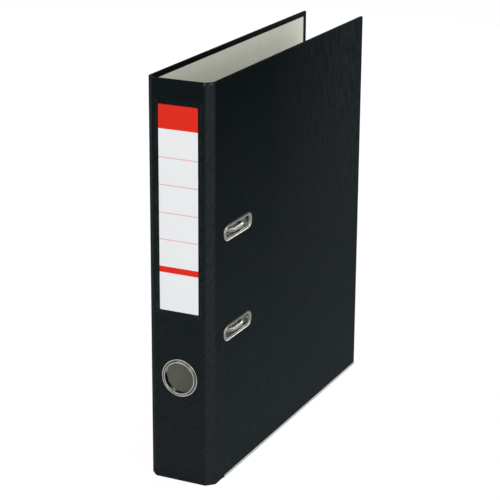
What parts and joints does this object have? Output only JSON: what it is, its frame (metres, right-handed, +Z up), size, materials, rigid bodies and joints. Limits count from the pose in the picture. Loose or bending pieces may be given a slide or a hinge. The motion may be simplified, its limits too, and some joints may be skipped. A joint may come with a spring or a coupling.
{
  "type": "lever arch file",
  "caption": "Lever arch file with a covered board case on four creases, a locking lever mechanism, a spine label and a finger ring.",
  "frame": {"origin": "on the surface that the file stands on, under the middle of its bounding box", "axes": "+Z up along the spine, -Y out of the spine's outer face, +X out of the front cover"},
  "size_m": [0.0584, 0.2865, 0.318],
  "materials": {
    "black_paper": "black laminated covering paper, semi gloss",
    "grey_paper": "matt cloudy grey lining paper",
    "greyboard": "solid greyboard",
    "label_paper": "white card with plain red bands",
    "clear_film": "clear film",
    "nickel": "nickel-plated steel",
    "rail_metal": "zinc-plated steel",
    "roller_plastic": "natural nylon"
  },
  "bodies": {
    "back_cover": {"back_cover_board": "greyboard", "back_cover_wrap": "black_paper", "back_cover_lining": "grey_paper", "back_edge_rail": "rail_metal", "base_plate": "nickel", "post_upper": "nickel", "post_lower": "nickel", "lever_pin": "nickel", "opening_spring": "nickel", "spring_rivet": "nickel", "rivet_1": "nickel", "rivet_2": "nickel", "rivet_3": "nickel", "rivet_4": "nickel"},
    "back_hinge": {"back_hinge_board": "greyboard", "back_hinge_wrap": "black_paper", "back_hinge_lining": "grey_paper"},
    "spine": {"spine_board": "greyboard", "spine_wrap": "black_paper", "spine_lining": "grey_paper", "label_card": "label_paper", "label_pocket": "clear_film", "finger_ring": "nickel"},
    "front_hinge": {"front_hinge_board": "greyboard", "front_hinge_wrap": "black_paper", "front_hinge_lining": "grey_paper"},
    "front_cover": {"front_cover_board": "greyboard", "front_cover_wrap": "black_paper", "front_cover_lining": "grey_paper", "front_edge_rail": "rail_metal", "slot_eyelet_upper": "nickel", "slot_eyelet_lower": "nickel"},
    "arches": {"arch_wire": "nickel"},
    "lever": {"lever": "nickel", "roller_pin": "nickel"},
    "roller": {"roller": "roller_plastic"}
  },
  "joints": [
    {"name": "back_hinge_fold", "type": "hinge", "parent": "back_cover", "child": "back_hinge", "pos_m": [-0.0275, -0.1365, 0.1592], "axis": [0, 0, -1], "range_deg": [0, 45]},
    {"name": "spine_fold", "type": "hinge", "parent": "back_hinge", "child": "spine", "pos_m": [-0.0215, -0.1425, 0.1592], "axis": [0, 0, -1], "range_deg": [0, 45]},
    {"name": "front_hinge_fold", "type": "hinge", "parent": "spine", "child": "front_hinge", "pos_m": [0.0215, -0.1425, 0.1592], "axis": [0, 0, -1], "range_deg": [0, 45]},
    {"name": "front_cover_fold", "type": "hinge", "parent": "front_hinge", "child": "front_cover", "pos_m": [0.0275, -0.1365, 0.1592], "axis": [0, 0, -1], "range_deg": [0, 45]},
    {"name": "arch_swing", "type": "hinge", "parent": "back_cover", "child": "arches", "pos_m": [-0.021, -0.115, 0.1592], "axis": [0, 0, -1], "range_deg": [0, 30]},
    {"name": "lever_lift", "type": "hinge", "parent": "back_cover", "child": "lever", "pos_m": [-0.00835, -0.105, 0.1422], "axis": [0, 1, 0], "range_deg": [0, 90]},
    {"name": "roller_spin", "type": "hinge", "parent": "lever", "child": "roller", "pos_m": [-0.01435, -0.105, 0.1422], "axis": [0, 1, 0], "continuous": true}
  ],
  "couplings": [
    {"joint": "spine_fold", "follows": "back_hinge_fold", "ratio": 1},
    {"joint": "front_hinge_fold", "follows": "front_cover_fold", "ratio": 1},
    {"joint": "arch_swing", "follows": "front_cover_fold", "ratio": 0.6666},
    {"joint": "lever_lift", "follows": "front_cover_fold", "ratio": 2}
  ]
}
